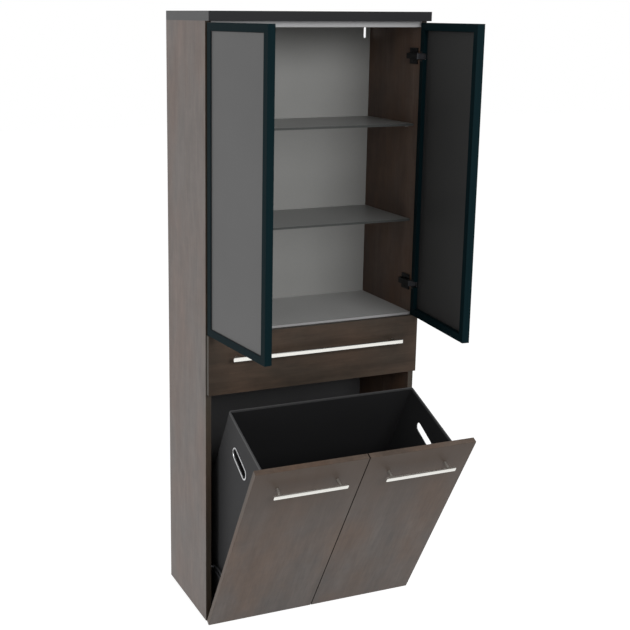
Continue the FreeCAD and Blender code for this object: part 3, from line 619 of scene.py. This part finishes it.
for word, (side, place) in DOORS.items():
    dress(["door_%s_%s" % (word, bar) for bar in ("hinge_stile", "free_stile", "rails")], door_metal)
    dress(["door_%s_hinge_arms" % word, "door_%s_hinge_cups" % word], hinge_black)
    turn = place.inverted().to_euler()
    pane, tree, shader = new_finish("satin_door_glass_" + word, {
        "Roughness": 0.42, "Specular IOR Level": 0.15,
    })
    spot = add(tree, "ShaderNodeTexCoord")
    shifted = add(tree, "ShaderNodeMapping", {
        "Vector": spot.outputs["Object"], "Location": place.inverted().translation, "Rotation": turn,
    })
    depth = add(tree, "ShaderNodeSeparateXYZ", {"Vector": shifted.outputs[0]})
    # Painted shade: the room side of the pane takes the darker paint.
    shaded_inside = maths(tree, "GREATER_THAN", depth.outputs["Y"], 0.0)
    etched, shaded_glass = [
        use(tree, melamine, {"Vector": spot.outputs["Object"], "Paint": colour, "Fleck": 0.03})
        for colour in (paint(91, 91, 91), paint(54, 54, 54))
    ]
    two_tones(tree, shader, shaded_inside, etched.outputs["Color"], shaded_glass.outputs["Color"])
    roughen(tree, shader, etched.outputs["Height"], GLASS_BUMP)
    dress(["door_%s_glass" % word], pane)
    start, end = sorted((-side * GASKET_START, -side * GASKET_END))
    beads = []
    for near, far in ((PANE_FRONT - GASKET_OUTER, PANE_FRONT), (PANE_BACK, PANE_BACK + GASKET_INNER)):
        for left, right in ((start, start + GASKET_BEAD), (end - GASKET_BEAD, end)):
            beads.append(((left, near, GASKET_BOTTOM), (right, far, GASKET_TOP)))
        left, right = start + GASKET_BEAD, end - GASKET_BEAD
        beads.append(((left, near, GASKET_BOTTOM), (right, far, GASKET_BOTTOM + GASKET_BEAD)))
        beads.append(((left, near, GASKET_TOP - GASKET_BEAD), (right, far, GASKET_TOP)))
    gasket = eased_boxes("door_%s_gasket" % word, beads, GASKET_EASE, place)
    finish_piece(gasket, "door_" + word, gasket_rubber)

# Drawer: a front in the same oak foil with its grain laid across, a grey box behind it, and
# a chromed flat bar handle. The flap's handles are of the same make.
GRAIN_ACROSS = (0, math.radians(90), 0)
front_foil, tree, shader, grain = oak_finish(
    "dark_oak_drawer_foil", paint(62, 53, 45), paint(47, 39, 32), paint(68, 54, 44), GRAIN_ACROSS, 0.14,
)
dress(["drawer_front"], front_foil)
dress(
    ["drawer_side_left", "drawer_side_right", "drawer_back", "drawer_bottom_panel"],
    board_finish("grey_drawer_board", paint(128, 128, 127)),
)
chrome = metal_finish("satin_chrome_handle", paint(222, 221, 216), (4, 300, 300), 0.16, 0.28)
dress(["drawer_handle_bar", "flap_handle_bar_left", "flap_handle_bar_right"], chrome)
dress(
    ["drawer_handle_posts", "flap_handle_posts_left", "flap_handle_posts_right"],
    metal_finish("dull_chrome_posts", paint(160, 156, 150), (300, 300, 4), 0.4, 0.55),
)

# Laundry flap: two fronts in oak foil, tied by steel rails, on knuckle hinges and slotted
# stays. The grain is upright. The foil is painted paler and greyer than the drawer's, a painted
# sheen, and browner and darker towards the top, painted shade.
FLAP_TILT = math.radians(29.6)
FLAP_PIN = (0, -0.308, 0.002)
FLAP = Matrix.Translation(FLAP_PIN) @ Matrix.Rotation(FLAP_TILT, 4, "X")
# Painted sheen: paler, greyer paints than the drawer's for the same foil.
painted_sheen_flap_foil, tree, shader, grain = oak_finish(
    "dark_oak_flap_foil", paint(88, 81, 77), paint(69, 62, 58), paint(84, 69, 59), (-FLAP_TILT, 0, 0),
)
FLAP_TOP = 0.667
# Painted shade: the foil turns browner and darker over the top of the flap.
TOP_SHADE_REACH, TOP_SHADE_SHARE = 0.34, 0.95
pivot_rise = (Matrix.Rotation(-FLAP_TILT, 4, "X") @ FLAP.translation).z
where = add(tree, "ShaderNodeSeparateXYZ", {"Vector": grain.inputs["Vector"].links[0].from_socket})
flap_rise = pivot_rise + FLAP_TOP
painted_shade_near_top = spread(tree, where.outputs["Z"], flap_rise - TOP_SHADE_REACH, flap_rise, 0, TOP_SHADE_SHARE)
two_tones(tree, shader, painted_shade_near_top, grain.outputs["Color"], paint(62, 50, 41))
dress(["flap_front_left", "flap_front_right"], painted_sheen_flap_foil)

# Edge bands of the drawer and flap fronts: a thin strip of foil along each top and outer
# upright edge, painted paler on the flap, a painted sheen. The two edges that meet in the middle
# of the flap are painted near-black, painted shade in the gap between them.
FRONT_HALF, CENTRE_GAP = 0.3225, 0.0015


def upright_strip(edge, bottom, top, front, back):
    """A strip that lies half in the upright edge of a board."""
    return ((edge - BAND, front + BAND, bottom + BAND), (edge + BAND, back - BAND, top - BAND))


def top_strip(left, right, top, front, back):
    return ((left + BAND, front + BAND, top - BAND), (right - BAND, back - BAND, top + BAND))


low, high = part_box("drawer_front")
finish_piece(
    eased_boxes("drawer_front_edge_bands", [
        top_strip(low.x, high.x, high.z, low.y, high.y),
        upright_strip(low.x, low.z, high.z, low.y, high.y),
        upright_strip(high.x, low.z, high.z, low.y, high.y),
    ], BAND_EASE), "drawer", band_foil,
)
# Painted sheen: the flap's bands take paler paints than the drawer's.
painted_sheen_flap_band_foil, tree, shader, grain = oak_finish(
    "dark_oak_flap_edge_foil", paint(84, 72, 63), paint(70, 59, 51), paint(82, 64, 52), (-FLAP_TILT, 0, 0),
)
FLAP_BOTTOM, FLAP_FACE, FLAP_BACK = -0.002, -0.015, 0.001
flap_edges, shaded_joint_edges = [], []
for side in (LEFT, RIGHT):
    left, right = sorted((side * FRONT_HALF, side * CENTRE_GAP))
    flap_edges.append(top_strip(left, right, FLAP_TOP, FLAP_FACE, FLAP_BACK))
    flap_edges.append(upright_strip(side * FRONT_HALF, FLAP_BOTTOM, FLAP_TOP, FLAP_FACE, FLAP_BACK))
    shaded_joint_edges.append(upright_strip(side * CENTRE_GAP, FLAP_BOTTOM, FLAP_TOP, FLAP_FACE, FLAP_BACK))
finish_piece(
    eased_boxes("flap_edge_bands", flap_edges, BAND_EASE, FLAP), "flap", painted_sheen_flap_band_foil,
)
# Painted shade: near-black strips on the two edges that meet in the flap's middle gap.
finish_piece(
    eased_boxes("flap_joint_shade_bands", shaded_joint_edges, BAND_EASE, FLAP), "flap",
    board_finish("painted_shade_joint_edge", paint(20, 17, 15), 0.1, 0.6, 0.05),
)

# Screws of the hinge plates, handles, stays and knuckle hinges: black on the hinge plates and
# zinc plated elsewhere, seen from behind the fronts or from inside the cabinet.
HINGE_PLATE_FACE, HINGE_PLATE_MIDDLE = 0.306, -0.273
PLATE_HALF, PLATE_SCREW = 0.022, 0.015
for word, (side, place) in DOORS.items():
    low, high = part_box("door_%s_hinge_arms" % word)
    spots = []
    for level_z in (low.z + PLATE_HALF, high.z - PLATE_HALF):
        for lift in (-PLATE_SCREW, PLATE_SCREW):
            point = (side * HINGE_PLATE_FACE, HINGE_PLATE_MIDDLE, level_z + lift)
            spots.append((point, (-side, 0, 0), SCREW))
    screws("door_%s_plate_screws" % word, "carcass", hinge_black, spots)
POST = 0.004
low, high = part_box("drawer_handle_posts")
board_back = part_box("drawer_front")[1].y
bolts = [
    ((x, board_back, (low.z + high.z) / 2), (0, 1, 0), POST) for x in (low.x + POST, high.x - POST)
]
screws("drawer_handle_bolts", "drawer", zinc, bolts)
HANDLE_SCREW_RISE, STAY_SCREW_ACROSS, STAY_SCREW_DEPTH = 0.598, 0.283, 0.003
STAY_SCREW_RISES = (0.144, 0.156)
FLAP_LEAF_DEPTH, FLAP_LEAF_RISE = 0.0025, 0.03
flap_back = FLAP.to_3x3() @ Vector((0, 1, 0))
flap_spots = []
for word in ("left", "right"):
    low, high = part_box("flap_handle_posts_" + word)
    for x in (low.x + POST, high.x - POST):
        flap_spots.append(((x, FLAP_BACK, HANDLE_SCREW_RISE), SCREW))
for side in (LEFT, RIGHT):
    for z in STAY_SCREW_RISES:
        flap_spots.append(((side * STAY_SCREW_ACROSS, STAY_SCREW_DEPTH, z), STAY_SCREW))
    for across in (-HINGE_SCREW, HINGE_SCREW):
        point = (side * HINGE_MIDDLE + across, FLAP_LEAF_DEPTH, FLAP_LEAF_RISE)
        flap_spots.append((point, SMALL_SCREW))
screws(
    "flap_screws", "flap", zinc,
    [(FLAP @ Vector(point), flap_back, radius) for point, radius in flap_spots],
)

# Laundry basket: 3 mm dark board folded round soft corners, painted darker inside for the shade.
# A thin bound rim slopes to the rear, and each side has a round-ended hand slot with a metal rim.
BASKET_HALF, BASKET_FRONT, BASKET_REAR = 0.284, 0.006, 0.263
BASKET_FLOOR, FRONT_RIM, REAR_RIM = 0.024, 0.630, 0.595
BOARD, FOLD, FOLD_STEPS = 0.003, 0.006, 6
BINDING, BINDING_PROUD = 0.006, 0.0004
CUTTER_REACH = 4 * BOARD
BASKET_BUMP = 0.0001
SLOT_DEPTH, SLOT_LEVEL, SLOT_LENGTH, SLOT_HEIGHT = 0.134, 0.528, 0.095, 0.028


def rim_height(depth):
    share = (depth - BASKET_FRONT) / (BASKET_REAR - BASKET_FRONT)
    return FRONT_RIM + (REAR_RIM - FRONT_RIM) * share


def basket_ring(shape, inset, height):
    """Corners of a round-cornered loop this far inside the outer face, at a height for each depth."""
    radius = FOLD - inset
    half, front, rear = BASKET_HALF - FOLD, BASKET_FRONT + FOLD, BASKET_REAR - FOLD
    ring = []
    for x, y, start in ((half, rear, 0), (-half, rear, 90), (-half, front, 180), (half, front, 270)):
        for step in range(FOLD_STEPS + 1):
            angle = math.radians(start + 90 * step / FOLD_STEPS)
            across, depth = x + radius * math.cos(angle), y + radius * math.sin(angle)
            ring.append(shape.verts.new((across, depth, height(depth))))
    return ring


def join_rings(shape, rings):
    """Strips of wall from each ring to the next."""
    for first, second in zip(rings, rings[1:]):
        for index, corner in enumerate(first):
            after = (index + 1) % len(first)
            shape.faces.new((corner, first[after], second[after], second[index]))


def flap_piece(name, shape):
    """A mesh drawn on the upright flap, as an object at the flap's tilt."""
    bmesh.ops.recalc_face_normals(shape, faces=shape.faces)
    shape.transform(FLAP)
    mesh = bpy.data.meshes.new(name)
    shape.to_mesh(mesh)
    shape.free()
    piece = bpy.data.objects.new(name, mesh)
    bpy.context.scene.collection.objects.link(piece)
    return piece


shape = bmesh.new()
rings = [
    basket_ring(shape, 0, lambda depth: BASKET_FLOOR), basket_ring(shape, 0, rim_height),
    basket_ring(shape, BOARD, rim_height), basket_ring(shape, BOARD, lambda depth: BASKET_FLOOR + BOARD),
]
join_rings(shape, rings)
shape.faces.new(rings[0])
shape.faces.new(rings[-1])
basket = flap_piece("folded_laundry_basket", shape)

shape = bmesh.new()
SLOT_STEPS = 10
for side in (LEFT, RIGHT):
    ends_of_prism = []
    for across in (side * (BASKET_HALF - CUTTER_REACH), side * (BASKET_HALF + CUTTER_REACH)):
        loop = []
        for end_side in (RIGHT, LEFT):
            middle = SLOT_DEPTH + end_side * (SLOT_LENGTH - SLOT_HEIGHT) / 2
            for step in range(SLOT_STEPS + 1):
                angle = math.radians(-90 + 180 * step / SLOT_STEPS + (0 if end_side == RIGHT else 180))
                loop.append(shape.verts.new((
                    across,
                    middle + SLOT_HEIGHT / 2 * math.cos(angle),
                    SLOT_LEVEL + SLOT_HEIGHT / 2 * math.sin(angle),
                )))
        ends_of_prism.append(loop)
        shape.faces.new(loop)
    join_rings(shape, ends_of_prism)
slot_cutter = flap_piece("hand_slot_cutter", shape)
cut = basket.modifiers.new("hand_slots", "BOOLEAN")
cut.operation, cut.solver, cut.object = "DIFFERENCE", "EXACT", slot_cutter
view = bpy.context.evaluated_depsgraph_get()
made = bpy.data.meshes.new_from_object(basket.evaluated_get(view))
basket.modifiers.clear()
basket.data = made
bpy.data.objects.remove(slot_cutter)

shape = bmesh.new()
rings = [
    basket_ring(shape, -BINDING_PROUD, lambda depth: rim_height(depth) - BINDING),
    basket_ring(shape, -BINDING_PROUD, lambda depth: rim_height(depth) + BINDING_PROUD),
    basket_ring(shape, BOARD + BINDING_PROUD, lambda depth: rim_height(depth) + BINDING_PROUD),
    basket_ring(shape, BOARD + BINDING_PROUD, lambda depth: rim_height(depth) - BINDING),
]
join_rings(shape, rings + rings[:1])
binding = flap_piece("basket_rim_binding", shape)

basket_board, tree, shader = new_finish("anthracite_basket_board", {
    "Roughness": 0.6, "Specular IOR Level": 0.1,
})
spot = add(tree, "ShaderNodeTexCoord").outputs["Object"]
unturned = add(tree, "ShaderNodeMapping", {
    "Vector": spot, "Location": FLAP.inverted().translation, "Rotation": FLAP.inverted().to_euler(),
})
where = add(tree, "ShaderNodeSeparateXYZ", {"Vector": unturned.outputs[0]})
across = maths(tree, "ABSOLUTE", where.outputs["X"])
along = maths(tree, "SUBTRACT", where.outputs["Y"], (BASKET_FRONT + BASKET_REAR) / 2)
along = maths(tree, "ABSOLUTE", along)
shaded_inside = maths(
    tree, "MULTIPLY", maths(tree, "LESS_THAN", across, BASKET_HALF - BOARD / 2),
    maths(tree, "LESS_THAN", along, (BASKET_REAR - BASKET_FRONT - BOARD) / 2),
)
outer_skin = use(tree, melamine, {"Vector": spot, "Paint": paint(51, 51, 52), "Fleck": 0.1})
inner_skin = use(tree, melamine, {"Vector": spot, "Paint": paint(34, 34, 35), "Fleck": 0.1})
two_tones(tree, shader, shaded_inside, outer_skin.outputs["Color"], inner_skin.outputs["Color"])
roughen(tree, shader, outer_skin.outputs["Height"], BASKET_BUMP)
finish_piece(basket, "flap", basket_board)
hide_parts("laundry_basket")
dark_binding = board_finish("dark_rim_binding", paint(66, 66, 67), 0.08, 0.5, 0.2)
finish_piece(binding, "flap", dark_binding)
dress(["laundry_basket"], basket_board)
rim_metal = metal_finish("satin_rim_metal", paint(205, 206, 208), (120, 120, 120), 0.25, 0.38)
dress(["basket_slot_rims"], rim_metal)
